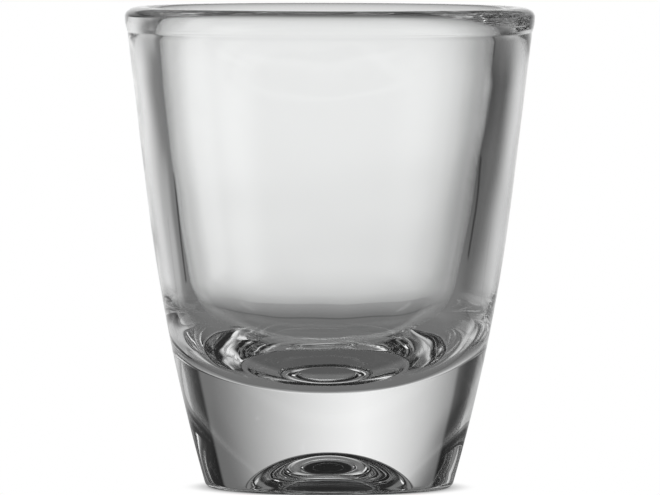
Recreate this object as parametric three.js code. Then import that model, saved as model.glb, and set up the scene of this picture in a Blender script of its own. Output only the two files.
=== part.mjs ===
// Liqueur glass: one pressed body of clear glass. It has a fire-polished rim
// bead, a tapered wall that curves in towards the foot, a round-bottomed bowl,
// a thick base and a domed hollow, the punt, under the foot.
// Millimetres, +Z up. The origin is the middle of the foot, on the surface
// that the glass stands on.
import * as THREE from 'three';

// Overall sizes
const HEIGHT = 58.6;
const RIM_RADIUS = 25.0; // the widest ring of the bead

// Outside: a straight flank, and below the waist one long arc down to the foot
const FLANK_TAPER_DEG = 6.87; // from upright
const WAIST_HEIGHT = 36.0;
const BODY_ARC_RADIUS = 228.0;
const FOOT_CORNER_RADIUS = 0.9;

// Rim bead: it swells out of the flank at a fine crease
const BEAD_HEIGHT = 3.1; // from the crease up to the lip
const BEAD_PROUD = 0.33; // from the crease out to the widest ring
const CREST_DROP = 1.1; // from the top of the lip down to the widest ring
const CREST_INSET = 1.9; // from the widest ring in to the top of the lip
const LIP_INNER_DROP = 1.7; // from the top of the lip down to the bore
const LIP_FULLNESS = 0.6; // how square the inner edge of the lip is

// Bore: wall thickness at two heights, and the bore's slope at the lower one
const WALL_UPPER = 4.0;
const WALL_UPPER_HEIGHT = 50.0;
const WALL_LOWER = 4.4;
const WALL_LOWER_HEIGHT = 28.0;
const BORE_LOWER_TAPER_DEG = 11.0;
const BORE_FLARE = 1.0; // how much wider the lip is than the bore's own curve there

// Bowl floor: a dish, a cup and a cove, three arcs that meet without a corner
const BASE_THICKNESS = 13.15; // from the foot up to the middle of the bowl
const DISH_RADIUS = 25.0;
const DISH_TILT_DEG = 11.0; // slope at which the dish passes into the cup
const CUP_TILT_DEG = 68.0; // slope at which the cup passes into the cove
const COVE_RADIUS = 17.0;

// Punt: a dome of two arcs that meet without a corner
const PUNT_DEPTH = 6.08;
const PUNT_CROWN_RADIUS = 7.7;
const PUNT_SHOULDER_DEG = 52.0; // slope at which the crown passes into the flank
const PUNT_FLANK_RADIUS = 5.0;
const PUNT_EDGE = 0.6; // size of the soft edge between the dome and the foot

// Fineness of the faceted body
const FACETS_ROUND = 80;
const ARC_STEP_DEG = 8;
const BODY_STEPS = 9;
const BORE_STEPS = 10;
const BEAD_STEPS = 3;
const LIP_STEPS = 5;

const radians = THREE.MathUtils.degToRad;
const RIGHT_ANGLE = Math.PI / 2;

// Evenly spaced numbers from one value to another, both ends included.
function spread(from, to, steps) {
  return Array.from({ length: steps + 1 }, (_, i) => THREE.MathUtils.lerp(from, to, i / steps));
}

// Points on an arc of the profile. An angle of 0 points down from the centre
// and grows outwards, so on a floor the angle is the floor's own slope.
function arcPoints(centre, radius, from, to) {
  const steps = Math.max(2, Math.ceil(Math.abs(to - from) / radians(ARC_STEP_DEG)));
  return spread(from, to, steps).map(
    (angle) => new THREE.Vector2(centre.x + radius * Math.sin(angle), centre.y - radius * Math.cos(angle)),
  );
}

// The outside: its flank is a line of one taper, and the body arc is tangent
// to it at the waist.
const taper = radians(FLANK_TAPER_DEG);
const creaseHeight = HEIGHT - BEAD_HEIGHT;
const creaseRadius = RIM_RADIUS - BEAD_PROUD;
const waistRadius = creaseRadius - (creaseHeight - WAIST_HEIGHT) * Math.tan(taper);
const bodyArcCentre = new THREE.Vector2(
  waistRadius - BODY_ARC_RADIUS * Math.cos(taper),
  WAIST_HEIGHT + BODY_ARC_RADIUS * Math.sin(taper),
);

function outsideRadius(height) {
  if (height >= WAIST_HEIGHT) return waistRadius + (height - WAIST_HEIGHT) * Math.tan(taper);
  return bodyArcCentre.x + Math.sqrt(BODY_ARC_RADIUS ** 2 - (bodyArcCentre.y - height) ** 2);
}

// The bore: a parabola through both wall thicknesses, with the taper given for
// the lower one, and a flare above the upper one.
const boreTaper = radians(BORE_LOWER_TAPER_DEG);
const boreLowerRadius = outsideRadius(WALL_LOWER_HEIGHT) - WALL_LOWER;
const boreUpperRadius = outsideRadius(WALL_UPPER_HEIGHT) - WALL_UPPER;

function boreRadius(height) {
  const span = WALL_UPPER_HEIGHT - WALL_LOWER_HEIGHT;
  const straight = boreLowerRadius + span * Math.tan(boreTaper);
  const bend = (boreUpperRadius - straight) / span ** 2;
  const up = height - WALL_LOWER_HEIGHT;
  const past = Math.max(height - WALL_UPPER_HEIGHT, 0) / (HEIGHT - WALL_UPPER_HEIGHT);
  const flare = BORE_FLARE * past ** 2;
  return boreLowerRadius + up * Math.tan(boreTaper) + bend * Math.max(up, 0) ** 2 + flare;
}

// From the axis over the crown and the flank of the dome, and out over its
// soft edge to the flat foot.
function puntProfile() {
  const top = Math.PI;
  const shoulder = top - radians(PUNT_SHOULDER_DEG);
  const crownCentre = new THREE.Vector2(0, PUNT_DEPTH - PUNT_CROWN_RADIUS);
  const flankCentre = centreOfNext(crownCentre, PUNT_CROWN_RADIUS, PUNT_FLANK_RADIUS, shoulder);
  const steepest = Math.acos((PUNT_EDGE - flankCentre.y) / PUNT_FLANK_RADIUS);
  const dome = [
    ...arcPoints(crownCentre, PUNT_CROWN_RADIUS, top, shoulder),
    ...arcPoints(flankCentre, PUNT_FLANK_RADIUS, shoulder, top - steepest).slice(1),
  ];
  const corner = new THREE.Vector2(dome.at(-1).x + PUNT_EDGE / Math.tan(steepest), 0);
  const foot = corner.clone().setX(corner.x + PUNT_EDGE);
  const edge = new THREE.QuadraticBezierCurve(dome.at(-1), corner, foot);
  return [...dome, ...edge.getPoints(2).slice(1)];
}

// The rounded corner of the foot, the body arc and the straight flank.
function outsideProfile() {
  const inner = BODY_ARC_RADIUS - FOOT_CORNER_RADIUS;
  const down = bodyArcCentre.y - FOOT_CORNER_RADIUS;
  const cornerCentre = new THREE.Vector2(
    bodyArcCentre.x + Math.sqrt(inner ** 2 - down ** 2),
    FOOT_CORNER_RADIUS,
  );
  const corner = arcPoints(cornerCentre, FOOT_CORNER_RADIUS, 0, RIGHT_ANGLE - Math.asin(down / inner));
  const body = spread(corner.at(-1).y, WAIST_HEIGHT, BODY_STEPS)
    .slice(1)
    .map((height) => new THREE.Vector2(outsideRadius(height), height));
  return [...corner, ...body, new THREE.Vector2(creaseRadius, creaseHeight)];
}

// The bead: a shallow curve out of the crease to the widest ring, a quarter
// ellipse up to the top of the lip, and a full curve down into the bore.
function rimProfile() {
  const widest = HEIGHT - CREST_DROP;
  const swell = BEAD_PROUD / (widest - creaseHeight) ** 2;
  const bead = spread(creaseHeight, widest, BEAD_STEPS)
    .slice(1)
    .map((height) => new THREE.Vector2(RIM_RADIUS - swell * (widest - height) ** 2, height));

  const crest = new THREE.Vector2(RIM_RADIUS - CREST_INSET, HEIGHT);
  const outer = new THREE.EllipseCurve(crest.x, widest, CREST_INSET, CREST_DROP, 0, RIGHT_ANGLE);

  const boreTop = HEIGHT - LIP_INNER_DROP;
  const bore = new THREE.Vector2(boreRadius(boreTop), boreTop);
  const level = crest.clone().setX(THREE.MathUtils.lerp(crest.x, bore.x, LIP_FULLNESS));
  const above = THREE.MathUtils.lerp(boreTop, HEIGHT, LIP_FULLNESS);
  const upright = new THREE.Vector2(boreRadius(above), above);
  const inner = new THREE.CubicBezierCurve(crest, level, upright, bore);
  return [...bead, ...outer.getPoints(LIP_STEPS).slice(1), ...inner.getPoints(LIP_STEPS).slice(1)];
}

// The bowl floor from the axis out to the bore. The cup's radius is the one
// with which the cove ends on the bore's line.
function bowlProfile() {
  const dishEnd = radians(DISH_TILT_DEG);
  const cupEnd = radians(CUP_TILT_DEG);
  const coveEnd = RIGHT_ANGLE - boreTaper;
  const slope = Math.tan(boreTaper);
  const fixedOut = DISH_RADIUS * Math.sin(dishEnd) + COVE_RADIUS * (Math.sin(coveEnd) - Math.sin(cupEnd));
  const fixedUp =
    BASE_THICKNESS +
    DISH_RADIUS * (1 - Math.cos(dishEnd)) +
    COVE_RADIUS * (Math.cos(cupEnd) - Math.cos(coveEnd));
  const missing = boreRadius(0) + slope * fixedUp - fixedOut;
  const gainOut = Math.sin(cupEnd) - Math.sin(dishEnd);
  const gainUp = Math.cos(dishEnd) - Math.cos(cupEnd);
  const cupRadius = missing / (gainOut - slope * gainUp);

  const dishCentre = new THREE.Vector2(0, BASE_THICKNESS + DISH_RADIUS);
  const cupCentre = centreOfNext(dishCentre, DISH_RADIUS, cupRadius, dishEnd);
  const coveCentre = centreOfNext(cupCentre, cupRadius, COVE_RADIUS, cupEnd);
  return [
    ...arcPoints(dishCentre, DISH_RADIUS, 0, dishEnd),
    ...arcPoints(cupCentre, cupRadius, dishEnd, cupEnd).slice(1),
    ...arcPoints(coveCentre, COVE_RADIUS, cupEnd, coveEnd).slice(1),
  ];
}

// The centre of an arc that follows another without a corner at this slope.
function centreOfNext(centre, radius, nextRadius, tilt) {
  const shift = radius - nextRadius;
  return new THREE.Vector2(centre.x + shift * Math.sin(tilt), centre.y - shift * Math.cos(tilt));
}

// The whole outline, from the axis in the punt round to the axis in the bowl.
function glassProfile() {
  const bowl = bowlProfile();
  const bore = spread(HEIGHT - LIP_INNER_DROP, bowl.at(-1).y, BORE_STEPS)
    .slice(1, -1)
    .map((height) => new THREE.Vector2(boreRadius(height), height));
  const profile = [...puntProfile(), ...outsideProfile(), ...rimProfile(), ...bore, ...bowl.reverse()];
  profile[0].setX(0);
  profile.at(-1).setX(0);
  return profile;
}

// Clear soda-lime glass, polished all over.
function clearGlass() {
  return new THREE.MeshStandardMaterial({
    color: 0xf2f5f4,
    roughness: 0.02,
    metalness: 0,
    transparent: true,
    opacity: 0.35,
  });
}

function glassBody() {
  const geometry = new THREE.LatheGeometry(glassProfile(), FACETS_ROUND).rotateX(RIGHT_ANGLE);
  const body = new THREE.Mesh(geometry, clearGlass());
  body.name = 'glass_body';
  return body;
}

const liqueurGlass = new THREE.Group();
liqueurGlass.add(glassBody());
export default liqueurGlass;
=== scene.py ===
"""Looks of a small liqueur glass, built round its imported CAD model.

The glass is one pressed body of clear glass. It is rebuilt here as a fine
surface of revolution on the CAD node's own sizes, with the slight ripple of
pressed glass, and stands on pale paper in soft studio light.
"""

import logging
import math
from dataclasses import dataclass, field
from enum import Enum

import bpy
import numpy as np
from mathutils import Matrix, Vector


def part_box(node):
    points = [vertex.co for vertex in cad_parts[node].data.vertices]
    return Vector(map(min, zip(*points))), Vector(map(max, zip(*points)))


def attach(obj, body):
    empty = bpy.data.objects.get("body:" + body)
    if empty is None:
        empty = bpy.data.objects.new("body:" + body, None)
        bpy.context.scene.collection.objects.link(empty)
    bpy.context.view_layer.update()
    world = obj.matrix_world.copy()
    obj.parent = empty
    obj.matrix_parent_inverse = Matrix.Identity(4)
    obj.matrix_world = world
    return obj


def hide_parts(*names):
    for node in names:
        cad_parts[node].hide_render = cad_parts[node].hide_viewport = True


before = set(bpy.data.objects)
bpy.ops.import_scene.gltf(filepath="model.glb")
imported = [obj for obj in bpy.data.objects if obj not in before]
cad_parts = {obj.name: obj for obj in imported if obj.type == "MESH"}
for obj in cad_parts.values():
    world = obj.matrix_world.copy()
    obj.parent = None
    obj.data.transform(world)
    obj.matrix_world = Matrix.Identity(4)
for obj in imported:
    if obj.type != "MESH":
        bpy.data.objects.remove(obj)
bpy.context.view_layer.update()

MM = 0.001
TAU = 2.0 * math.pi
RIGHT_ANGLE = math.pi / 2.0
CAD_NODE = "glass_body"
PHOTO_WIDTH = 660
PHOTO_HEIGHT = 495
GLASS_BOUNCES = 64
SAME_POINT = 1e-6 * MM
WHITE = (1.0, 1.0, 1.0, 1.0)

Socket = bpy.types.NodeSocket
Value = Socket | float | tuple[float, ...]

log = logging.getLogger("liqueur_glass")


def arc(centre: np.ndarray, radius: float, start: float, stop: float, count: int = 48) -> np.ndarray:
    """Points on an arc of the outline.

    The point at angle t is centre + radius * (sin t, -cos t), so t is the
    slope of a floor and a right angle is an upright wall.

    Args:
        centre: Radius and height of the arc's centre.
        radius: The arc's radius.
        start: First angle, in radians.
        stop: Last angle, in radians.
        count: Number of points.

    Returns:
        An array of (radius, height) rows.
    """
    t = np.linspace(start, stop, count)
    return np.stack([centre[0] + radius * np.sin(t), centre[1] - radius * np.cos(t)], axis=1)


def cubic(p0: np.ndarray, p1: np.ndarray, p2: np.ndarray, p3: np.ndarray, count: int = 40) -> np.ndarray:
    """Points on a cubic Bezier curve with these four control points.

    At t, with u = 1 - t, they weigh u^3, 3 u^2 t, 3 u t^2 and t^3.

    Args:
        p0: First point.
        p1: Point that sets the direction at the start.
        p2: Point that sets the direction at the end.
        p3: Last point.
        count: Number of points.

    Returns:
        An array of (radius, height) rows.
    """
    t = np.linspace(0.0, 1.0, count)[:, None]
    u = 1.0 - t
    return u**3 * p0 + 3.0 * u**2 * t * p1 + 3.0 * u * t**2 * p2 + t**3 * p3


def even_outline(points: np.ndarray, count: int, turn_length: float) -> np.ndarray:
    """Spreads a fixed number of points along an outline.

    The spacing is even in (length + turn_length * angle turned), so tight
    curves get more points than straight stretches.

    Args:
        points: The outline as dense (radius, height) rows.
        count: Number of points wanted.
        turn_length: Length that a turn of one radian counts for.

    Returns:
        The outline as `count` rows.
    """
    step = np.diff(points, axis=0)
    length = np.hypot(step[:, 0], step[:, 1])
    keep = np.concatenate([[True], length > SAME_POINT])
    points = points[keep]
    step = np.diff(points, axis=0)
    length = np.hypot(step[:, 0], step[:, 1])
    heading = np.unwrap(np.arctan2(step[:, 1], step[:, 0]))
    turn = np.concatenate([[0.0], np.abs(np.diff(heading))])
    place = np.concatenate([[0.0], np.cumsum(length + turn_length * turn)])
    wanted = np.linspace(0.0, place[-1], count)
    return np.stack([np.interp(wanted, place, points[:, k]) for k in (0, 1)], axis=1)


@dataclass(frozen=True)
class OuterForm:
    """The outside: rounded foot, one long body arc, a straight flank and the rim bead."""

    height: float
    rim_radius: float
    taper: float = math.radians(6.87)
    waist: float = 36.0 * MM
    body_arc: float = 228.0 * MM
    corner: float = 0.9 * MM
    bead_height: float = 3.1 * MM
    bead_proud: float = 0.33 * MM
    crest_drop: float = 1.1 * MM
    crest_inset: float = 1.9 * MM
    groove_depth: float = 0.03 * MM
    groove_width: float = 0.25 * MM
    groove_lean: float = 2.0
    corner_points: int = 16
    side_points: int = 160
    swell_points: int = 24
    shoulder_points: int = 32

    @property
    def crease(self) -> np.ndarray:
        """Radius and height of the fine crease under the bead."""
        return np.array([self.rim_radius - self.bead_proud, self.height - self.bead_height])

    @property
    def crest(self) -> np.ndarray:
        """Radius and height of the top of the lip."""
        return np.array([self.rim_radius - self.crest_inset, self.height])

    @property
    def waist_radius(self) -> float:
        """Radius where the flank passes into the body arc."""
        return float(self.crease[0] - (self.crease[1] - self.waist) * math.tan(self.taper))

    @property
    def arc_centre(self) -> np.ndarray:
        """Centre of the body arc, which is tangent to the flank at the waist."""
        across = self.waist_radius - self.body_arc * math.cos(self.taper)
        return np.array([across, self.waist + self.body_arc * math.sin(self.taper)])

    def radius(self, height: np.ndarray | float) -> np.ndarray:
        """Outer radius at a height between the foot corner and the crease.

        Above the waist it is a line of the given taper, and below it the
        circle of the body arc: centre + square root of (arc^2 - drop^2).

        Args:
            height: One height or an array of heights.

        Returns:
            The radius at each height.
        """
        height = np.asarray(height, dtype=float)
        flank = self.waist_radius + (height - self.waist) * math.tan(self.taper)
        drop = self.arc_centre[1] - height
        body = self.arc_centre[0] + np.sqrt(self.body_arc**2 - drop**2)
        return np.where(height >= self.waist, flank, body)

    def side(self) -> np.ndarray:
        """The outline from the flat of the foot up to the crease.

        The corner is an arc that touches the flat and the body arc, and from
        there on the outline is the outer radius at even heights.

        Returns:
            An array of (radius, height) rows.
        """
        inner = self.body_arc - self.corner
        down = self.arc_centre[1] - self.corner
        centre = np.array([self.arc_centre[0] + math.sqrt(inner**2 - down**2), self.corner])
        end = RIGHT_ANGLE - math.asin(down / inner)
        foot = arc(centre, self.corner, 0.0, end, self.corner_points)
        heights = np.linspace(foot[-1, 1], self.crease[1], self.side_points)[1:]
        return np.concatenate([foot, np.stack([self.radius(heights), heights], axis=1)])

    def bead(self) -> np.ndarray:
        """The outline from the crease over the widest ring to the top of the lip.

        The swell is a parabola that stands upright at the widest ring, and the
        shoulder above it is a quarter of an ellipse.

        Returns:
            An array of (radius, height) rows.
        """
        widest = self.height - self.crest_drop
        heights = np.linspace(self.crease[1], widest, self.swell_points)[1:]
        bend = self.bead_proud / (widest - self.crease[1]) ** 2
        swell = np.stack([self.rim_radius - bend * (widest - heights) ** 2, heights], axis=1)
        t = np.linspace(0.0, RIGHT_ANGLE, self.shoulder_points)[1:]
        across = self.crest[0] + self.crest_inset * np.cos(t)
        shoulder = np.stack([across, widest + self.crest_drop * np.sin(t)], axis=1)
        return np.concatenate([swell, shoulder])

    def with_groove(self, outline: np.ndarray) -> np.ndarray:
        """Sets the fine groove of the crease into an outline.

        Three points take the place of those within half the groove's width of
        the crease: its two edges, and its bottom, groove_depth further in. The
        upper edge leans out groove_lean times as much as the flank.

        Args:
            outline: Rows of (radius, height) that pass the crease on the outside.

        Returns:
            The outline with the groove.
        """
        half = self.groove_width / 2.0
        near = np.hypot(*(outline - self.crease).T) < half
        away = outline[~near]
        before = int(np.argmax(away[:, 1] > self.crease[1]))
        low = np.array([self.radius(self.crease[1] - half), self.crease[1] - half])
        high = self.crease + np.array([half * math.tan(self.taper) * self.groove_lean, half])
        bottom = self.crease - np.array([self.groove_depth, 0.0])
        return np.concatenate([away[:before], [low, bottom, high], away[before:]])


@dataclass(frozen=True)
class Bore:
    """The inside: the soft inner edge of the lip, the bore's wall and the round bowl floor."""

    outer: OuterForm
    lip_drop: float = 1.7 * MM
    lip_fullness: float = 0.6
    wall_upper: float = 4.0 * MM
    wall_upper_height: float = 50.0 * MM
    wall_lower: float = 4.4 * MM
    wall_lower_height: float = 28.0 * MM
    lower_taper: float = math.radians(11.0)
    flare: float = 1.0 * MM
    base: float = 13.15 * MM
    dish_radius: float = 25.0 * MM
    dish_tilt: float = math.radians(11.0)
    cup_tilt: float = math.radians(68.0)
    cove_radius: float = 17.0 * MM
    wall_points: int = 120
    cup_points: int = 64

    def radius(self, height: np.ndarray | float) -> np.ndarray:
        """Bore radius at a height.

        A line of the lower taper through the lower wall's point, plus a
        parabola above that point that meets the upper wall's point, plus a
        parabolic flare above the upper wall's point.

        Args:
            height: One height or an array of heights.

        Returns:
            The radius at each height.
        """
        low = float(self.outer.radius(self.wall_lower_height)) - self.wall_lower
        high = float(self.outer.radius(self.wall_upper_height)) - self.wall_upper
        span = self.wall_upper_height - self.wall_lower_height
        bend = (high - low - span * math.tan(self.lower_taper)) / span**2
        up = np.asarray(height, dtype=float) - self.wall_lower_height
        past = np.maximum(up - span, 0.0) / (self.outer.height - self.wall_upper_height)
        return low + up * math.tan(self.lower_taper) + bend * np.maximum(up, 0.0) ** 2 + self.flare * past**2

    def lip(self) -> np.ndarray:
        """The outline from the top of the lip down into the bore, one cubic curve.

        Its second point is level with the lip, lip_fullness of the way in, and
        its third is on the bore's own curve, lip_fullness of the way up.

        Returns:
            An array of (radius, height) rows.
        """
        top = self.outer.crest
        end_height = self.outer.height - self.lip_drop
        end = np.array([float(self.radius(end_height)), end_height])
        level = np.array([top[0] + (end[0] - top[0]) * self.lip_fullness, top[1]])
        above = end_height + (top[1] - end_height) * self.lip_fullness
        return cubic(top, level, np.array([float(self.radius(above)), above]), end)

    def floor(self) -> np.ndarray:
        """The bowl floor from the axis out to the bore: dish, cup and cove.

        The three arcs meet without a corner, and the cup's radius is the one
        with which the cove ends on the bore's line.

        Returns:
            An array of (radius, height) rows.
        """
        wall = RIGHT_ANGLE - self.lower_taper
        slope = math.tan(self.lower_taper)
        dish, cup = self.dish_tilt, self.cup_tilt
        out = self.dish_radius * math.sin(dish) + self.cove_radius * (math.sin(wall) - math.sin(cup))
        up = self.base + self.dish_radius * (1.0 - math.cos(dish))
        up += self.cove_radius * (math.cos(cup) - math.cos(wall))
        missing = float(self.radius(0.0)) + slope * up - out
        gain = math.sin(cup) - math.sin(dish) - slope * (math.cos(dish) - math.cos(cup))
        cup_radius = missing / gain

        centre = np.array([0.0, self.base + self.dish_radius])
        stretches = [arc(centre, self.dish_radius, 0.0, dish)]
        for radius, following, start, stop in (
            (self.dish_radius, cup_radius, dish, cup),
            (cup_radius, self.cove_radius, cup, wall),
        ):
            centre = centre + (radius - following) * np.array([math.sin(start), -math.cos(start)])
            stretches.append(arc(centre, following, start, stop, self.cup_points)[1:])
        return np.concatenate(stretches)

    def outline(self) -> np.ndarray:
        """The whole inside, from the top of the lip down to the axis.

        Returns:
            An array of (radius, height) rows.
        """
        floor = self.floor()
        lip = self.lip()
        heights = np.linspace(lip[-1, 1], floor[-1, 1], self.wall_points)[1:-1]
        wall = np.stack([self.radius(heights), heights], axis=1)
        return np.concatenate([lip[1:], wall, floor[::-1]])


@dataclass(frozen=True)
class Punt:
    """The domed hollow under the foot, and its soft edge on the foot ring."""

    depth: float = 6.08 * MM
    crown_radius: float = 7.7 * MM
    shoulder: float = math.radians(52.0)
    flank_radius: float = 5.0 * MM
    edge: float = 0.6 * MM
    edge_points: int = 9

    def outline(self) -> np.ndarray:
        """The outline from the top of the dome out to the flat of the foot.

        The crown's arc passes at the shoulder's slope into the flank's arc,
        which ends as high above the foot as the edge is wide. A parabola
        rounds it onto the flat.

        Returns:
            An array of (radius, height) rows.
        """
        upright = math.pi
        centre = np.array([0.0, self.depth - self.crown_radius])
        crown = arc(centre, self.crown_radius, upright, upright - self.shoulder)
        centre = centre + (self.crown_radius - self.flank_radius) * np.array(
            [math.sin(self.shoulder), math.cos(self.shoulder)]
        )
        steepest = math.acos((self.edge - centre[1]) / self.flank_radius)
        flank = arc(centre, self.flank_radius, upright - self.shoulder, upright - steepest)
        corner = np.array([flank[-1, 0] + self.edge / math.tan(steepest), 0.0])
        s = np.linspace(0.0, 1.0, self.edge_points)[1:, None]
        end = corner + np.array([self.edge, 0.0])
        rounded = (1.0 - s) ** 2 * flank[-1] + 2.0 * s * (1.0 - s) * corner + s**2 * end
        return np.concatenate([crown, flank[1:], rounded])


@dataclass(frozen=True)
class Lean:
    """How far the plunger stood off the mould's axis, along X, when the glass was pressed."""

    at_floor: float = -0.6 * MM
    at_lip: float = -0.2 * MM
    lip_fade: float = 1.5 * MM

    def apply(self, rings: np.ndarray, inside: np.ndarray, floor: float, top: float) -> np.ndarray:
        """Moves the inside with the plunger.

        At height z it moves by at_floor + slope * (z - floor) along X, where
        the slope is (at_lip - at_floor) / (top - floor), and turns with it:
        z falls by slope * x. Both fade to nothing at the top of the lip.

        Args:
            rings: Points as an array (rings, columns, 3).
            inside: True for each ring of the inside.
            floor: Height of the bowl's floor.
            top: Height of the top of the lip.

        Returns:
            The moved points.
        """
        x, z = rings[:, :, 0], rings[:, :, 2]
        slope = (self.at_lip - self.at_floor) / (top - floor)
        share = inside[:, None] * np.clip((top - z) / self.lip_fade, 0.0, 1.0)
        across = share * (self.at_floor + slope * (z - floor))
        return rings + np.stack([across, np.zeros_like(x), -share * slope * x], axis=2)


@dataclass(frozen=True)
class Ripple:
    """The slight unevenness that a mould and a plunger leave in pressed glass.

    It is stronger inside at chill_height, where the plunger cooled the glass.
    """

    amplitude: float = 0.004 * MM
    waves: int = 14
    most_round: int = 16
    shortest: float = 7.0 * MM
    edge_fade: float = 3.0 * MM
    axis_fade: float = 6.0 * MM
    chill: float = 4.0
    chill_height: float = 21.0 * MM
    chill_reach: float = 4.0 * MM
    seed: int = 11

    def depth(self, along: np.ndarray, around: np.ndarray) -> np.ndarray:
        """How far the surface stands out at each point.

        A sum of cosines of (m * angle + length * 2 pi / wavelength + phase),
        where m is a whole number, so that the surface closes on itself. It is
        scaled so that its root mean square is the amplitude.

        Args:
            along: Length along the outline, one value for each ring.
            around: Angle about the axis, one value for each column.

        Returns:
            An array with a row for each ring and a column for each angle.
        """
        rng = np.random.default_rng(self.seed)
        round_waves = rng.integers(1, self.most_round + 1, self.waves)
        per_length = rng.uniform(-TAU / self.shortest, TAU / self.shortest, self.waves)
        phase = rng.uniform(0.0, TAU, self.waves)
        angle = around[None, :, None] * round_waves + along[:, None, None] * per_length + phase
        return self.amplitude * np.cos(angle).mean(axis=2) * math.sqrt(2.0 * self.waves)

    def share(self, line: np.ndarray, inside: np.ndarray, crease: float) -> np.ndarray:
        """How much of the ripple each ring gets.

        It rises from 0 to 1 along edge_fade below the crease and above the
        foot, and along axis_fade out from the axis. Inside it is multiplied by
        1 + chill * exp(-((height - chill_height) / chill_reach)^2).

        Args:
            line: The outline as (radius, height) rows.
            inside: True for each ring of the inside.
            crease: Height of the crease.

        Returns:
            One factor for each ring.
        """
        radius, height = line.T
        fade = np.clip((crease - height) / self.edge_fade, 0.0, 1.0)
        fade *= np.clip(height / self.edge_fade, 0.0, 1.0) * np.clip(radius / self.axis_fade, 0.0, 1.0)
        off = (height - self.chill_height) / self.chill_reach
        return fade * (1.0 + self.chill * inside * np.exp(-(off**2)))


class NodeDesk:
    """A short way to place and wire the nodes of one tree."""

    def __init__(self, tree: bpy.types.NodeTree) -> None:
        """Takes a tree and clears it."""
        self.tree = tree
        tree.nodes.clear()

    def link(self, source: Socket, target: Socket) -> None:
        """Joins an output to an input."""
        self.tree.links.new(source, target)

    def feed(self, target: Socket, value: Value) -> None:
        """Sets an input to a number or colour, or joins it to an output.

        Args:
            target: The input.
            value: The number, the colour or the output.
        """
        if isinstance(value, Socket):
            self.link(value, target)
        else:
            target.default_value = value

    def add(self, kind: str, **inputs: Value) -> bpy.types.Node:
        """Places a node.

        Args:
            kind: The node's type name.
            **inputs: Values or outputs for its inputs, by the input's name.

        Returns:
            The new node.
        """
        node = self.tree.nodes.new(kind)
        for name, value in inputs.items():
            self.feed(node.inputs[name], value)
        return node

    def mix(self, share: Socket, at_zero: bpy.types.Node, at_one: bpy.types.Node) -> bpy.types.Node:
        """Places a shader that passes from one node's shader to another's.

        Args:
            share: How much of the second one shows.
            at_zero: Node of the shader that shows alone at 0.
            at_one: Node of the shader that shows alone at 1.

        Returns:
            The new node.
        """
        node = self.add("ShaderNodeMixShader", Fac=share)
        self.link(at_zero.outputs[0], node.inputs[1])
        self.link(at_one.outputs[0], node.inputs[2])
        return node

    def finish(self, kind: str, shader: bpy.types.Node) -> None:
        """Places the tree's output node and joins the shader to it."""
        self.link(shader.outputs[0], self.add(kind).inputs["Surface"])

    def math(self, operation: str, *values: Value) -> Socket:
        """Places a Math node.

        Args:
            operation: The node's operation.
            *values: Its inputs in their order, as numbers or outputs.

        Returns:
            The socket with the result.
        """
        node = self.tree.nodes.new("ShaderNodeMath")
        node.operation = operation
        for socket, value in zip(node.inputs, values):
            self.feed(socket, value)
        return node.outputs[0]

    def vector(self, operation: str, *values: Value) -> Socket:
        """Places a Vector Math node.

        Args:
            operation: The node's operation.
            *values: Its inputs in their order, as vectors or outputs.

        Returns:
            The socket with the result.
        """
        node = self.tree.nodes.new("ShaderNodeVectorMath")
        node.operation = operation
        for socket, value in zip(node.inputs, values):
            self.feed(socket, value)
        return node.outputs["Value" if operation in ("DOT_PRODUCT", "LENGTH") else "Vector"]

    def smooth(self, value: Value, at_zero: float, at_one: float) -> Socket:
        """Places a smooth step.

        Args:
            value: What the step depends on.
            at_zero: The value at which it is 0, and beyond which it stays 0.
            at_one: The value at which it is 1, and beyond which it stays 1.

        Returns:
            The socket with the step.
        """
        node = self.tree.nodes.new("ShaderNodeMapRange")
        node.interpolation_type = "SMOOTHSTEP"
        falling = at_one < at_zero
        self.feed(node.inputs["Value"], value)
        node.inputs["From Min"].default_value = min(at_zero, at_one)
        node.inputs["From Max"].default_value = max(at_zero, at_one)
        node.inputs["To Min"].default_value = 1.0 if falling else 0.0
        node.inputs["To Max"].default_value = 0.0 if falling else 1.0
        return node.outputs["Result"]

    def product(self, first: Value, *others: Value) -> Socket:
        """Multiplies values.

        Args:
            first: The first value.
            *others: The values that it is multiplied by.

        Returns:
            The socket with the product.
        """
        for other in others:
            first = self.math("MULTIPLY", first, other)
        return first

    def shade(self, tone: Socket, share: Socket, factor: float) -> Socket:
        """The tone, multiplied by the factor where the share is 1 and kept where it is 0."""
        return self.math("MULTIPLY", tone, self.math("MULTIPLY_ADD", share, factor - 1.0, 1.0))

    def blend(self, tone: Socket, share: Socket, goal: float) -> Socket:
        """The tone, changed to the goal where the share is 1 and kept where it is 0."""
        return self.math("MULTIPLY_ADD", share, self.math("SUBTRACT", goal, tone), tone)

    def lift(self, tone: Socket, share: Socket, goal: float) -> Socket:
        """The tone, raised to the goal where the share is 1 and never lowered."""
        missing = self.math("MAXIMUM", self.math("SUBTRACT", goal, tone), 0.0)
        return self.math("MULTIPLY_ADD", share, missing, tone)


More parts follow.
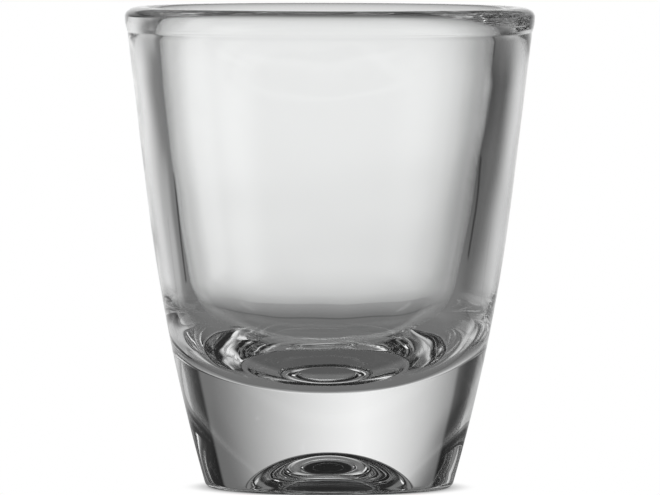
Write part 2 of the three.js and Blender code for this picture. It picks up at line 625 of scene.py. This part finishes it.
@dataclass(frozen=True)
class ClearGlass:
    """Soda-lime glass, fire-polished, with a worn ring where the foot stands."""

    name: str = "clear_glass"
    tint: tuple[float, float, float] = (0.985, 0.99, 0.988)
    index: float = 1.52
    polish: float = 0.004
    scuffed: float = 0.22
    scuff_height: float = 0.25 * MM
    scuff_scale: float = 900.0
    scuff_detail: float = 4.0
    bare_below: float = 0.5
    worn_above: float = 0.62
    mottle_scale: float = 260.0
    mottle_detail: float = 1.0
    mottle_depth: float = 0.0012 * MM

    def make(self) -> bpy.types.Material:
        """Builds the material.

        Roughness is the polish everywhere, and rises by the scuffed value in
        flecks where the surface lies within scuff_height of the table. A fine
        mottle, about a micrometre deep, bends the reflections a little.

        Returns:
            The finished material.
        """
        material = bpy.data.materials.new(self.name)
        material.use_nodes = True
        desk = NodeDesk(material.node_tree)
        shader = desk.add("ShaderNodeBsdfPrincipled")
        shader.inputs["Base Color"].default_value = (*self.tint, 1.0)
        shader.inputs["IOR"].default_value = self.index
        shader.inputs["Transmission Weight"].default_value = 1.0
        point = desk.add("ShaderNodeTexCoord").outputs["Object"]

        flecks = desk.add(
            "ShaderNodeTexNoise", Vector=point, Scale=self.scuff_scale, Detail=self.scuff_detail
        )
        height = desk.add("ShaderNodeSeparateXYZ", Vector=point).outputs["Z"]
        low = desk.smooth(height, self.scuff_height, 0.0)
        worn = desk.product(low, desk.smooth(flecks.outputs["Fac"], self.bare_below, self.worn_above))
        desk.link(desk.math("MULTIPLY_ADD", worn, self.scuffed, self.polish), shader.inputs["Roughness"])

        mottle = desk.add(
            "ShaderNodeTexNoise", Vector=point, Scale=self.mottle_scale, Detail=self.mottle_detail
        )
        bump = desk.add(
            "ShaderNodeBump", Height=mottle.outputs["Fac"], Strength=1.0, Distance=self.mottle_depth
        )
        desk.link(bump.outputs["Normal"], shader.inputs["Normal"])
        desk.finish("ShaderNodeOutputMaterial", shader)
        return material


def ring_quads(count: int, columns: int) -> np.ndarray:
    """The quads between closed rings of points that are numbered ring by ring.

    Each quad runs round first and then on to the next ring, which faces it
    outwards on an outline that goes up on the outside, and up on rings that
    grow smaller on a floor.

    Args:
        count: Number of rings.
        columns: Number of points in a ring.

    Returns:
        Rows of four point numbers.
    """
    ids = np.arange(count * columns).reshape(count, columns)
    beside = np.roll(ids, -1, axis=1)
    return np.stack([ids[:-1], beside[:-1], beside[1:], ids[1:]], axis=2).reshape(-1, 4)


def placed(name: str, mesh: bpy.types.Mesh) -> bpy.types.Object:
    """Puts a mesh into the scene, at the origin.

    Args:
        name: The object's name.
        mesh: Its mesh.

    Returns:
        The object.
    """
    piece = bpy.data.objects.new(name, mesh)
    bpy.context.scene.collection.objects.link(piece)
    return piece


def closed_rings(name: str, rings: np.ndarray, poles: np.ndarray) -> bpy.types.Object:
    """A closed mesh of rings with a fan of triangles at either end.

    Args:
        name: The object's name.
        rings: Points as an array (rings, columns, 3).
        poles: The axis points before the first ring and after the last.

    Returns:
        The smooth-shaded object.
    """
    count, columns, _ = rings.shape
    points = np.concatenate([rings.reshape(-1, 3), poles])
    quads = ring_quads(count, columns)
    first = np.arange(columns)
    last = first + (count - 1) * columns
    pole = np.full(columns, count * columns)
    under = np.stack([pole, np.roll(first, -1), first], axis=1)
    over = np.stack([pole + 1, last, np.roll(last, -1)], axis=1)
    corners = np.concatenate([quads.ravel(), under.ravel(), over.ravel()])
    sizes = np.concatenate([np.full(len(quads), 4), np.full(2 * columns, 3)])
    starts = np.concatenate([[0], np.cumsum(sizes)[:-1]])

    mesh = bpy.data.meshes.new(name)
    mesh.vertices.add(len(points))
    mesh.vertices.foreach_set("co", points.astype(np.float32).ravel())
    mesh.loops.add(len(corners))
    mesh.loops.foreach_set("vertex_index", corners.astype(np.int32))
    mesh.polygons.add(len(sizes))
    mesh.polygons.foreach_set("loop_start", starts.astype(np.int32))
    mesh.polygons.foreach_set("loop_total", sizes.astype(np.int32))
    mesh.update(calc_edges=True)
    mesh.validate()
    mesh.shade_smooth()
    return placed(name, mesh)


@dataclass
class GlassBody:
    """The whole glass as one closed surface of revolution."""

    outer: OuterForm
    bore: Bore
    punt: Punt
    finish: ClearGlass = field(default_factory=ClearGlass)
    lean: Lean = field(default_factory=Lean)
    ripple: Ripple = field(default_factory=Ripple)
    rings: int = 300
    columns: int = 320
    turn_length: float = 4.0 * MM
    name: str = "glass_body_fine"

    @classmethod
    def from_node(cls, node: str) -> "GlassBody":
        """Takes height and rim radius from a CAD node's box.

        Args:
            node: The CAD node's name.

        Returns:
            A glass of that size.
        """
        low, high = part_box(node)
        outer = OuterForm(height=high.z - low.z, rim_radius=(high.x - low.x) / 2.0)
        return cls(outer=outer, bore=Bore(outer), punt=Punt())

    def outline(self) -> np.ndarray:
        """The whole outline, from the axis in the punt round to the axis in the bowl.

        Returns:
            An array of (radius, height) rows.
        """
        dense = np.concatenate(
            [self.punt.outline(), self.outer.side(), self.outer.bead(), self.bore.outline()]
        )
        even = even_outline(dense, self.rings, self.turn_length)
        even[[0, -1], 0] = 0.0
        return self.outer.with_groove(even)

    def surface(self) -> tuple[np.ndarray, np.ndarray]:
        """The surface as rings of points.

        Point (s, a) is the outline's point s turned by angle a about Z:
        (r cos a, r sin a, z), moved along the outline's normal by the ripple.
        The first and the last ring are points, and the inside leans with the
        plunger.

        Returns:
            The rings, as an array (rings, columns, 3), and the two axis points.
        """
        line = self.outline()
        inside = np.arange(len(line)) > np.argmax(line[:, 1])
        along = np.gradient(line, axis=0)
        along /= np.hypot(along[:, 0], along[:, 1])[:, None]
        normal = np.stack([along[:, 1], -along[:, 0]], axis=1)
        step = np.hypot(*np.diff(line, axis=0).T)
        length = np.concatenate([[0.0], np.cumsum(step)])
        angle = np.arange(self.columns) * TAU / self.columns

        share = self.ripple.share(line, inside, self.outer.crease[1])
        deep = self.ripple.depth(length, angle) * share[:, None]
        moved = line[:, None, :] + normal[:, None, :] * deep[:, :, None]
        rings = np.stack(
            [moved[:, :, 0] * np.cos(angle), moved[:, :, 0] * np.sin(angle), moved[:, :, 1]], axis=2
        )
        rings = self.lean.apply(rings, inside, self.bore.base, self.outer.height)
        return rings[1:-1], rings[[0, -1], 0]

    def build(self) -> bpy.types.Object:
        """Builds, dresses and registers the glass.

        Returns:
            The finished object.
        """
        rings, poles = self.surface()
        piece = closed_rings(self.name, rings, poles)
        piece.data.materials.append(self.finish.make())
        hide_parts(CAD_NODE)
        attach(piece, "root")
        return piece


@dataclass(frozen=True)
class Softbox:
    """One soft-edged panel of light round the glass.

    Angles are in degrees: azimuth from +Y, growing towards +X, and low and
    high above the horizon.
    """

    azimuth: float
    half_width: float
    low: float
    high: float
    strength: float
    side_edge: float = 12.0
    level_edge: float = 6.0

    def share(self, desk: NodeDesk, heading: Socket, rise: Socket | float) -> Socket:
        """How much of the panel a ray meets.

        Three smooth steps multiplied: one of the angle round from the panel's
        middle and two of the elevation.

        Args:
            desk: The nodes of the world or the floor.
            heading: Level direction of the ray.
            rise: Elevation of the ray in degrees.

        Returns:
            The socket with the share.
        """
        turn = math.radians(self.azimuth)
        cosine = desk.vector("DOT_PRODUCT", heading, (math.sin(turn), math.cos(turn), 0.0))
        cosine = desk.math("MAXIMUM", desk.math("MINIMUM", cosine, 1.0), -1.0)
        off = desk.math("MULTIPLY", desk.math("ARCCOSINE", cosine), math.degrees(1.0))
        half, soft = self.side_edge / 2.0, self.level_edge / 2.0
        return desk.product(
            desk.smooth(off, self.half_width + half, self.half_width - half),
            desk.smooth(rise, self.low - soft, self.low + soft),
            desk.smooth(rise, self.high + soft, self.high - soft),
        )


class Panel(Enum):
    """The panels of light, placed round the glass. BACKDROP stands behind it."""

    BACKDROP = Softbox(-2.5, 21.5, -90.0, 6.0, 0.92, side_edge=30.0, level_edge=5.0)
    GLOW = Softbox(-9.0, 24.0, 6.0, 17.0, 0.81, side_edge=60.0, level_edge=5.0)
    SCREEN = Softbox(1.0, 49.0, 6.0, 28.0, 0.16, side_edge=4.0, level_edge=5.0)
    LOW_LEFT = Softbox(-36.0, 22.0, -90.0, 6.0, 0.17, side_edge=16.0)
    FLASH_LEFT = Softbox(-63.0, 11.0, 2.0, 9.0, 0.3, side_edge=6.0, level_edge=3.0)
    SPOT_LEFT = Softbox(-62.0, 4.0, 28.0, 40.0, 1.0, side_edge=3.0, level_edge=4.0)
    SPOT_RIGHT = Softbox(62.0, 4.0, 28.0, 40.0, 0.6, side_edge=3.0, level_edge=4.0)
    LOW_RIGHT = Softbox(66.0, 16.0, -90.0, 9.0, 0.8, side_edge=10.0, level_edge=4.0)
    LEFT = Softbox(-102.0, 20.0, 4.0, 20.0, 0.55, side_edge=28.0, level_edge=8.0)
    RIGHT = Softbox(104.0, 17.0, 4.0, 20.0, 0.9, side_edge=28.0, level_edge=8.0)
    ROOM = Softbox(180.0, 98.0, -90.0, 5.0, 0.23, side_edge=16.0)
    ABOVE = Softbox(0.0, 90.0, 32.0, 44.0, 0.2, side_edge=40.0)


@dataclass(frozen=True)
class SoftLight:
    """All the panels, and a faint light in the gaps between them."""

    panels: tuple[Softbox, ...] = tuple(panel.value for panel in Panel)
    ambient: float = 0.01

    @staticmethod
    def heading(desk: NodeDesk, towards: Socket) -> Socket:
        """The level direction of a vector, one unit long.

        Args:
            desk: The nodes of the world or the floor.
            towards: The vector.

        Returns:
            The socket with the level direction.
        """
        split = desk.add("ShaderNodeSeparateXYZ", Vector=towards)
        level = desk.add("ShaderNodeCombineXYZ", X=split.outputs["X"], Y=split.outputs["Y"])
        return desk.vector("NORMALIZE", level.outputs[0])

    def strength(self, desk: NodeDesk, towards: Socket, rise: Socket | float) -> Socket:
        """The light in one direction: the faint light plus each panel's strength times its share.

        Args:
            desk: The nodes of the world or the floor.
            towards: Direction of the ray.
            rise: Elevation of the ray in degrees.

        Returns:
            The socket with the light.
        """
        heading = self.heading(desk, towards)
        total = self.ambient
        for panel in self.panels:
            total = desk.math("MULTIPLY_ADD", panel.share(desk, heading, rise), panel.strength, total)
        return total


@dataclass(frozen=True)
class TablePlace:
    """A place on the table, measured from the middle of the foot.

    depth is the distance behind the axis, aside the distance to either side
    and reach the straight one. turn is the place's azimuth, negative on the
    left, and azimuth is the same without its sign.
    """

    depth: Socket
    aside: Socket
    reach: Socket
    turn: Socket
    azimuth: Socket

    @classmethod
    def at(cls, desk: NodeDesk, point: Socket) -> "TablePlace":
        """Measures a point of the table.

        Args:
            desk: The floor's nodes.
            point: The point, from the middle of the foot.

        Returns:
            Its measures as sockets.
        """
        split = desk.add("ShaderNodeSeparateXYZ", Vector=point)
        across, depth = split.outputs["X"], split.outputs["Y"]
        aside = desk.math("ABSOLUTE", across)
        return cls(
            depth=depth,
            aside=aside,
            reach=desk.vector("LENGTH", point),
            turn=desk.math("ARCTAN2", across, depth),
            azimuth=desk.math("ARCTAN2", aside, depth),
        )


@dataclass(frozen=True)
class Sheet:
    """The narrow sheet under the glass, a fine dark line at its edge and a darker stretch.

    The sheet ends at its edge, where the line shows as painted shadow, and the
    darker stretch reaches back to its own far edge. Each factor multiplies the table's tone there.
    """

    edge: float = 36.0 * MM
    # Painted shadow: the fine dark line at the sheet's edge, its width and its factor.
    shadow_line_width: float = 1.6 * MM
    shadow_line_factor: float = 0.6
    # A darker stretch of the table: how far back it goes, and its factor.
    darker_stretch_edge: float = 68.0 * MM
    darker_stretch_factor: float = 0.66
    half_width: float = 28.0 * MM
    side_fade: float = 12.0 * MM

    def across(self, desk: NodeDesk, place: TablePlace) -> Socket:
        """1 within the sheet's width, falling smoothly to 0 beside it."""
        return desk.smooth(place.aside, self.half_width + self.side_fade, self.half_width)

    def gap(self, desk: NodeDesk, place: TablePlace) -> Socket:
        """1 on the middle of the painted shadow line at the sheet's edge, falling smoothly to 0 at the
        line's set width from it.
        """
        off = desk.math("ABSOLUTE", desk.math("SUBTRACT", place.depth, self.edge))
        return desk.product(desk.smooth(off, self.shadow_line_width, 0.0), self.across(desk, place))

    def darker_stretch(self, desk: NodeDesk, place: TablePlace) -> Socket:
        """1 as far back as the darker stretch goes, within the sheet's width."""
        return desk.product(desk.math("LESS_THAN", place.depth, self.darker_stretch_edge), self.across(desk, place))


@dataclass(frozen=True)
class Flags:
    """Two narrow dark flags on the table, one on either side behind the glass.

    The factor multiplies the table's tone there.
    """

    azimuth: float = math.radians(57.0)
    half_width: float = math.radians(2.2)
    near: float = 112.0 * MM
    far: float = 220.0 * MM
    end_fade: float = 10.0 * MM
    factor: float = 0.1

    def share(self, desk: NodeDesk, place: TablePlace) -> Socket:
        """Where the flags lie.

        A smooth step of the angle off a flag's middle line times one of the
        distance at either end.

        Args:
            desk: The floor's nodes.
            place: The place on the table.

        Returns:
            The socket with the share, 1 on the middle line.
        """
        off = desk.math("ABSOLUTE", desk.math("SUBTRACT", place.azimuth, self.azimuth))
        return desk.product(
            desk.smooth(off, self.half_width, 0.0),
            desk.smooth(place.reach, self.near, self.near + self.end_fade),
            desk.smooth(place.reach, self.far, self.far - self.end_fade),
        )


@dataclass(frozen=True)
class OpenTable:
    """The table beside and before the glass, which is pale away from the glass's shade."""

    azimuth: float = math.radians(80.0)
    fade: float = math.radians(20.0)
    near: float = 35.0 * MM
    full: float = 120.0 * MM
    tone: float = 0.6

    def share(self, desk: NodeDesk, place: TablePlace) -> Socket:
        """Where the table is open: a smooth step of the azimuth times one of the distance."""
        beside = desk.smooth(place.azimuth, self.azimuth, self.azimuth + self.fade)
        return desk.product(beside, desk.smooth(place.reach, self.near, self.full))


@dataclass(frozen=True)
class LeftStretch:
    """A pale stretch of the table behind the glass on the left."""

    outer: float = math.radians(-52.0)
    inner: float = math.radians(-10.0)
    fade: float = math.radians(8.0)
    near: float = 35.0 * MM
    full: float = 100.0 * MM
    far: float = 380.0 * MM
    tone: float = 0.46

    def share(self, desk: NodeDesk, place: TablePlace) -> Socket:
        """Where the stretch lies.

        Two smooth steps of the azimuth times two of the distance.

        Args:
            desk: The floor's nodes.
            place: The place on the table.

        Returns:
            The socket with the share, 1 in the middle.
        """
        return desk.product(
            desk.smooth(place.turn, self.outer, self.outer + self.fade),
            desk.smooth(place.turn, self.inner, self.inner - self.fade),
            desk.smooth(place.reach, self.near, self.full),
            desk.smooth(place.reach, self.far, self.full),
        )


@dataclass(frozen=True)
class Table:
    """How pale the table looks from inside the glass.

    Near the glass its tone is painted shade of the glass, which passes with the
    depth into the backdrop's light. In front of the axis it is darker, painted
    shade where the light from behind doesn't reach it.
    """

    # Painted shade of the glass on the table near it.
    near_shade_tone: float = 0.17
    front_factor: float = 0.6
    front_step: float = 2.0 * MM
    quick_fade: float = 35.0 * MM
    slow_fade: float = 220.0 * MM
    sight: tuple[float, float, float] = (0.0, -72.0 * MM, 0.0)
    sheet: Sheet = field(default_factory=Sheet)
    flags: Flags = field(default_factory=Flags)
    open_table: OpenTable = field(default_factory=OpenTable)
    left_stretch: LeftStretch = field(default_factory=LeftStretch)

    def far_share(self, desk: NodeDesk, place: TablePlace) -> Socket:
        """How much of the backdrop's light the table shows at a depth.

        Past the sheet it is the mean of 1 - exp(-way / quick_fade) and
        1 - exp(-way / slow_fade), times the darker stretch's factor as far back as that stretch goes.

        Args:
            desk: The floor's nodes.
            place: The place on the table.

        Returns:
            The socket with the share.
        """
        way = desk.math("MAXIMUM", desk.math("SUBTRACT", place.depth, self.sheet.edge), 0.0)
        quick = desk.math("EXPONENT", desk.math("DIVIDE", way, -self.quick_fade))
        slow = desk.math("EXPONENT", desk.math("DIVIDE", way, -self.slow_fade))
        share = desk.math("MULTIPLY_ADD", desk.math("ADD", quick, slow), -0.5, 1.0)
        return desk.shade(share, self.sheet.darker_stretch(desk, place), self.sheet.darker_stretch_factor)

    def tone(self, desk: NodeDesk, point: Socket, light: SoftLight) -> Socket:
        """The table's tone.

        Far off it is the backdrop's in the direction in which the place is
        seen from the sight point, where the lines of sight through the glass
        meet.

        Args:
            desk: The floor's nodes.
            point: Place on the table, from the middle of the foot.
            light: The panels of light.

        Returns:
            The socket with the tone.
        """
        far = light.strength(desk, desk.vector("SUBTRACT", point, self.sight), 0.0)
        place = TablePlace.at(desk, point)
        share = self.far_share(desk, place)
        # The share without the backdrop's light is painted shade of the glass.
        own = desk.math("MULTIPLY", desk.math("SUBTRACT", 1.0, share), self.near_shade_tone)
        tone = desk.math("MULTIPLY_ADD", share, far, own)
        # Painted shadow: a fine dark line at the sheet's edge.
        tone = desk.shade(tone, self.sheet.gap(desk, place), self.sheet.shadow_line_factor)
        # Painted shade in front of the axis, where the light from behind doesn't reach.
        before = desk.smooth(place.depth, self.front_step, -self.front_step)
        tone = desk.shade(tone, before, self.front_factor)
        tone = desk.shade(tone, self.flags.share(desk, place), self.flags.factor)
        tone = desk.blend(tone, self.open_table.share(desk, place), self.open_table.tone)
        return desk.lift(tone, self.left_stretch.share(desk, place), self.left_stretch.tone)


@dataclass(frozen=True)
class PalePaper:
    """Pale paper: white to the camera but for the glass's own shadow on it.

    From inside the glass it shows the table's tone.
    """

    table: Table = field(default_factory=Table)
    name: str = "pale_paper"
    colour: tuple[float, float, float] = (0.86, 0.86, 0.86)
    shadow_reach: float = 3.0 * MM
    shadow_tone: float = 0.35
    shadow_samples: int = 16

    def make(self, light: SoftLight) -> bpy.types.Material:
        """Builds the material.

        To the camera it shines white, times a shadow that falls smoothly from
        1 in the open to shadow_tone where the glass covers all within
        shadow_reach. Glossy and transmitted rays meet the table's tone, and
        all others a plain diffuse paper.

        Args:
            light: The panels of light.

        Returns:
            The floor's material.
        """
        material = bpy.data.materials.new(self.name)
        material.use_nodes = True
        desk = NodeDesk(material.node_tree)
        point = desk.add("ShaderNodeTexCoord").outputs["Object"]
        ray = desk.add("ShaderNodeLightPath").outputs

        contact = desk.add("ShaderNodeAmbientOcclusion", Distance=self.shadow_reach)
        contact.samples = self.shadow_samples
        clear = desk.smooth(contact.outputs["AO"], 0.0, 1.0)
        shade = desk.math("MULTIPLY_ADD", clear, 1.0 - self.shadow_tone, self.shadow_tone)
        white = desk.add("ShaderNodeEmission", Strength=shade)
        graded = desk.add("ShaderNodeEmission", Strength=self.table.tone(desk, point, light))
        paper = desk.add("ShaderNodeBsdfDiffuse", Color=(*self.colour, 1.0))

        through = desk.math("MAXIMUM", ray["Is Glossy Ray"], ray["Is Transmission Ray"])
        unseen = desk.mix(through, paper, graded)
        desk.finish("ShaderNodeOutputMaterial", desk.mix(ray["Is Camera Ray"], unseen, white))
        return material


@dataclass
class Studio:
    """World light, floor and their white background for the camera."""

    light: SoftLight = field(default_factory=SoftLight)
    paper: PalePaper = field(default_factory=PalePaper)
    floor_radius: float = 2.5
    floor_middle: float = 0.01
    floor_rings: int = 12
    floor_columns: int = 96
    foot_gap: float = 0.03 * MM

    def build_world(self) -> None:
        """Builds the world: soft panels for every ray but the camera's, which sees white."""
        world = bpy.data.worlds.new("studio")
        bpy.context.scene.world = world
        world.use_nodes = True
        desk = NodeDesk(world.node_tree)
        towards = desk.add("ShaderNodeTexCoord").outputs["Generated"]
        height = desk.add("ShaderNodeSeparateXYZ", Vector=towards).outputs["Z"]
        rise = desk.math("MULTIPLY", desk.math("ARCSINE", height), math.degrees(1.0))
        strength = self.light.strength(desk, towards, rise)
        panels = desk.add("ShaderNodeBackground", Color=WHITE, Strength=strength)
        white = desk.add("ShaderNodeBackground", Color=WHITE)
        seen = desk.add("ShaderNodeLightPath").outputs["Is Camera Ray"]
        desk.finish("ShaderNodeOutputWorld", desk.mix(seen, panels, white))

    def build_floor(self) -> bpy.types.Object:
        """Builds the round sheet of pale paper that the glass stands on.

        Its rings lie at radii in a geometric row from the edge to the middle.
        It lies foot_gap lower than the foot, so that light inside the glass
        meets the glass's own surface first and can be reflected there.

        Returns:
            The floor.
        """
        angle = np.arange(self.floor_columns) * TAU / self.floor_columns
        reach = np.geomspace(self.floor_radius, self.floor_middle, self.floor_rings)[:, None]
        level = np.full((self.floor_rings, self.floor_columns), -self.foot_gap)
        rings = np.stack([reach * np.cos(angle), reach * np.sin(angle), level], axis=2)
        points = rings.reshape(-1, 3)
        middle = np.arange(len(points) - self.floor_columns, len(points))
        quads = ring_quads(self.floor_rings, self.floor_columns)
        mesh = bpy.data.meshes.new("floor")
        mesh.from_pydata(points.tolist(), [], [*quads.tolist(), middle.tolist()])
        mesh.materials.append(self.paper.make(self.light))
        floor = placed("floor", mesh)
        return floor


@dataclass(frozen=True)
class PhotoCamera:
    """A long lens, a little higher than the rim, as the photograph was taken."""

    distance: float = 1167.0 * MM
    height: float = 84.5 * MM
    pixels_per_metre: float = 8204.0
    axis_column: float = 329.5
    foot_row: float = 486.6
    roll: float = math.radians(0.11)
    sensor: float = 36.0
    nearest: float = 0.01
    farthest: float = 50.0

    def build(self) -> bpy.types.Object:
        """Builds the camera.

        The lens gives the photograph's pixels per metre at the glass's axis.
        Pitch and yaw put the middle of the foot on its row and column.

        Returns:
            The camera object, made the scene's camera.
        """
        focal = self.pixels_per_metre * self.distance
        data = bpy.data.cameras.new("photo_camera")
        data.sensor_width = self.sensor
        data.lens = focal * self.sensor / PHOTO_WIDTH
        data.clip_start, data.clip_end = self.nearest, self.farthest
        down = math.atan2(self.height, self.distance)
        pitch = down - math.atan((self.foot_row - PHOTO_HEIGHT / 2.0) / focal)
        yaw = math.atan((self.axis_column - PHOTO_WIDTH / 2.0) / focal)
        turned = Matrix.Rotation(yaw, 4, "Z") @ Matrix.Rotation(RIGHT_ANGLE - pitch, 4, "X")
        turned = turned @ Matrix.Rotation(self.roll, 4, "Z")
        turned.translation = (0.0, -self.distance, self.height)
        camera = bpy.data.objects.new("photo_camera", data)
        camera.matrix_world = turned
        bpy.context.scene.collection.objects.link(camera)
        bpy.context.scene.camera = camera
        return camera


def set_render(scene: bpy.types.Scene) -> None:
    """Sets the plain view transform, and enough bounces for light inside thick glass.

    Args:
        scene: The scene that is rendered.
    """
    scene.view_settings.view_transform = "Standard"
    scene.cycles.max_bounces = GLASS_BOUNCES
    scene.cycles.transmission_bounces = GLASS_BOUNCES
    scene.cycles.glossy_bounces = GLASS_BOUNCES


def report(piece: bpy.types.Object) -> None:
    """Logs a piece's name and how many faces it has."""
    log.info("%s: %d faces", piece.name, len(piece.data.polygons))


def main() -> None:
    """Builds the camera, the glass and the studio, in that order."""
    logging.basicConfig(level=logging.INFO, format="%(name)s %(message)s")
    set_render(bpy.context.scene)
    PhotoCamera().build()
    report(GlassBody.from_node(CAD_NODE).build())
    studio = Studio()
    studio.build_world()
    report(studio.build_floor())


if __name__ == "__main__":
    main()
